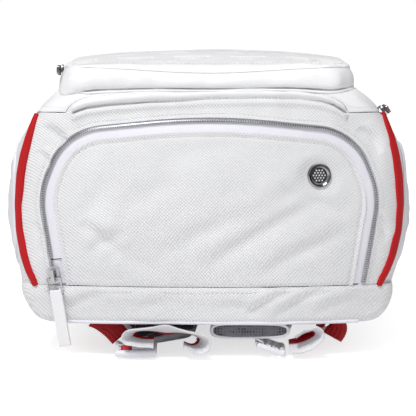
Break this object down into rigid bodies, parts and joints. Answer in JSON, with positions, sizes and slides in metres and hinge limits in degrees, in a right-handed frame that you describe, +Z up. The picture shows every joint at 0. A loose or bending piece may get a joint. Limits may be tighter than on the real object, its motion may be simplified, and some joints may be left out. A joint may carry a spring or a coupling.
{
  "type": "racket backpack",
  "caption": "White racket backpack lying on its straps, with a domed zipped shoe compartment end, vent eyelet, raised front pocket, side pockets, red edge stripes and padded straps.",
  "frame": {"origin": "middle of the object's width and length, in the plane its straps rest on", "axes": "+X to the right seen from the shoe-compartment end, +Y towards the haul handle, +Z up out of the front pocket"},
  "size_m": [0.34, 0.5066, 0.2442],
  "materials": {
    "white_fabric": "fine diagonal weave, soft sheen",
    "white_leather": "smooth coated",
    "lilac_tape": "satin woven tape",
    "red_trim": "woven edge stripe",
    "grey_mesh": "air mesh over foam",
    "lining": "plain lining",
    "zip_metal": "gunmetal",
    "chrome_ring": "polished",
    "black_mesh": "matt black",
    "white_webbing": "ribbed webbing, white with one red edge band",
    "white_plastic": "moulded",
    "frame_plastic": "extruded sheet",
    "white_rubber": "moulded soft tab"
  },
  "bodies": {
    "pack": {"back_panel": "white_fabric", "frame_sheet": "frame_plastic", "back_pads": "grey_mesh", "racket_divider": "lining", "shoe_compartment_wall": "lining", "bottom_boot": "white_fabric", "boot_piping": "lilac_tape", "end_panel": "white_fabric", "side_panel_left": "white_fabric", "side_panel_right": "white_fabric", "top_panel": "white_fabric", "side_stripe_left": "red_trim", "side_stripe_right": "red_trim", "side_pocket_left": "lilac_tape", "side_pocket_right": "lilac_tape", "shoe_zip_tape_outer": "lilac_tape", "shoe_zip_teeth_outer": "zip_metal", "main_zip_tape_lower": "lilac_tape", "main_zip_teeth_lower": "zip_metal", "side_zip_tapes": "lilac_tape", "side_zip_teeth": "zip_metal", "webbing_anchors": "white_webbing", "lower_webbing_left": "white_webbing", "lower_webbing_right": "white_webbing", "strap_yoke": "white_fabric", "handle_anchors": "white_webbing"},
    "shoe_flap": {"shoe_flap_panel": "white_fabric", "shoe_zip_tape_inner": "lilac_tape", "shoe_zip_teeth_inner": "zip_metal", "eyelet_ring": "chrome_ring", "eyelet_mesh": "black_mesh", "eyelet_washer": "chrome_ring"},
    "main_lid": {"lid_panel": "white_leather", "main_zip_tape_upper": "lilac_tape", "main_zip_teeth_upper": "zip_metal", "front_pocket_wall": "white_leather", "pocket_zip_lower": "zip_metal", "pocket_hinge_fold": "white_leather"},
    "pocket_flap": {"pocket_face": "white_leather", "pocket_zip_upper": "zip_metal"},
    "shoe_slider": {"shoe_zip_slider": "zip_metal"},
    "shoe_link": {"shoe_pull_link": "zip_metal"},
    "shoe_tab": {"shoe_pull_tab": "white_rubber"},
    "main_slider": {"main_zip_slider": "zip_metal"},
    "main_pull": {"main_zip_pull": "zip_metal"},
    "side_slider_left": {"side_zip_slider_left": "zip_metal"},
    "side_pull_left": {"side_zip_pull_left": "zip_metal"},
    "side_slider_right": {"side_zip_slider_right": "zip_metal"},
    "side_pull_right": {"side_zip_pull_right": "zip_metal"},
    "racket_slider": {"racket_zip_slider": "zip_metal"},
    "racket_pull": {"racket_zip_pull": "zip_metal"},
    "pocket_slider": {"pocket_zip_slider": "zip_metal"},
    "pocket_pull": {"pocket_zip_pull": "zip_metal"},
    "shoulder_strap_left": {"strap_left": "grey_mesh"},
    "shoulder_strap_right": {"strap_right": "grey_mesh"},
    "buckle_left": {"ladderlock_left": "white_plastic", "webbing_tail_left": "white_webbing"},
    "buckle_right": {"ladderlock_right": "white_plastic", "webbing_tail_right": "white_webbing"},
    "handle": {"haul_handle": "white_webbing"}
  },
  "joints": [
    {"name": "shoe_flap_fold", "type": "hinge", "parent": "pack", "child": "shoe_flap", "pos_m": [0, -0.25375, 0.0605], "axis": [1, 0, 0], "range_deg": [0, 100]},
    {"name": "main_lid_fold", "type": "hinge", "parent": "pack", "child": "main_lid", "pos_m": [0, -0.23725, 0.2266], "axis": [1, 0, 0], "range_deg": [0, 95]},
    {"name": "pocket_flap_fold", "type": "hinge", "parent": "main_lid", "child": "pocket_flap", "pos_m": [0, -0.23028, 0.23748], "axis": [1, 0, 0], "range_deg": [0, 85]},
    {"name": "shoe_zip_slide", "type": "slide", "parent": "pack", "child": "shoe_slider", "axis": [-0.1588, -0.0086, 0.9873], "range_m": [0, 0.04]},
    {"name": "shoe_link_swing", "type": "hinge", "parent": "shoe_slider", "child": "shoe_link", "pos_m": [-0.12631, -0.24238, 0.06626], "axis": [-0.9633, 0.2205, -0.153], "range_deg": [0, 110]},
    {"name": "shoe_tab_swing", "type": "hinge", "parent": "shoe_link", "child": "shoe_tab", "pos_m": [-0.12454, -0.24228, 0.05521], "axis": [-0.9633, 0.2205, -0.153], "range_deg": [0, 60]},
    {"name": "main_zip_slide", "type": "slide", "parent": "pack", "child": "main_slider", "axis": [0, 0.9958, -0.0918], "range_m": [0, 0.28]},
    {"name": "main_pull_swing", "type": "hinge", "parent": "main_slider", "child": "main_pull", "pos_m": [0.1431, -0.21563, 0.20177], "axis": [-0.5768, 0.075, 0.8134], "range_deg": [0, 170]},
    {"name": "side_zip_slide_left", "type": "slide", "parent": "pack", "child": "side_slider_left", "axis": [0, -0.9958, 0.0918], "range_m": [0, 0.18]},
    {"name": "side_pull_swing_left", "type": "hinge", "parent": "side_slider_left", "child": "side_pull_left", "pos_m": [-0.15095, 0.0003, 0.17116], "axis": [-0.403, -0.0841, -0.9113], "range_deg": [0, 170]},
    {"name": "side_zip_slide_right", "type": "slide", "parent": "pack", "child": "side_slider_right", "axis": [0, -0.9958, 0.0918], "range_m": [0, 0.18]},
    {"name": "side_pull_swing_right", "type": "hinge", "parent": "side_slider_right", "child": "side_pull_right", "pos_m": [0.15095, 0.0003, 0.17116], "axis": [-0.403, 0.0841, 0.9113], "range_deg": [0, 170]},
    {"name": "racket_zip_slide", "type": "slide", "parent": "pack", "child": "racket_slider", "axis": [0, 1, 0], "range_m": [0, 0.18]},
    {"name": "racket_pull_swing", "type": "hinge", "parent": "racket_slider", "child": "racket_pull", "pos_m": [0.1566, -0.09185, 0.0648], "axis": [0, 0, 1], "range_deg": [0, 170]},
    {"name": "pocket_zip_slide", "type": "slide", "parent": "main_lid", "child": "pocket_slider", "axis": [0, 0.9958, -0.0918], "range_m": [0, 0.18]},
    {"name": "pocket_pull_swing", "type": "hinge", "parent": "pocket_slider", "child": "pocket_pull", "pos_m": [-0.1224, -0.19915, 0.23199], "axis": [0, -0.0918, -0.9958], "range_deg": [0, 170]},
    {"name": "strap_drop_left", "type": "hinge", "parent": "pack", "child": "shoulder_strap_left", "pos_m": [-0.045, 0.17925, 0.024], "axis": [1, 0, 0], "range_deg": [0, 10]},
    {"name": "strap_drop_right", "type": "hinge", "parent": "pack", "child": "shoulder_strap_right", "pos_m": [0.045, 0.17925, 0.024], "axis": [1, 0, 0], "range_deg": [0, 10]},
    {"name": "buckle_swing_left", "type": "hinge", "parent": "shoulder_strap_left", "child": "buckle_left", "pos_m": [-0.06, -0.22565, 0.0066], "axis": [1, 0, 0], "range_deg": [0, 35]},
    {"name": "buckle_swing_right", "type": "hinge", "parent": "shoulder_strap_right", "child": "buckle_right", "pos_m": [0.04098, -0.22925, 0.01128], "axis": [0, 1, 0], "range_deg": [0, 35]},
    {"name": "handle_swing", "type": "hinge", "parent": "pack", "child": "handle", "pos_m": [0, 0.23275, 0.0845], "axis": [1, 0, 0], "range_deg": [-50, 50]}
  ]
}
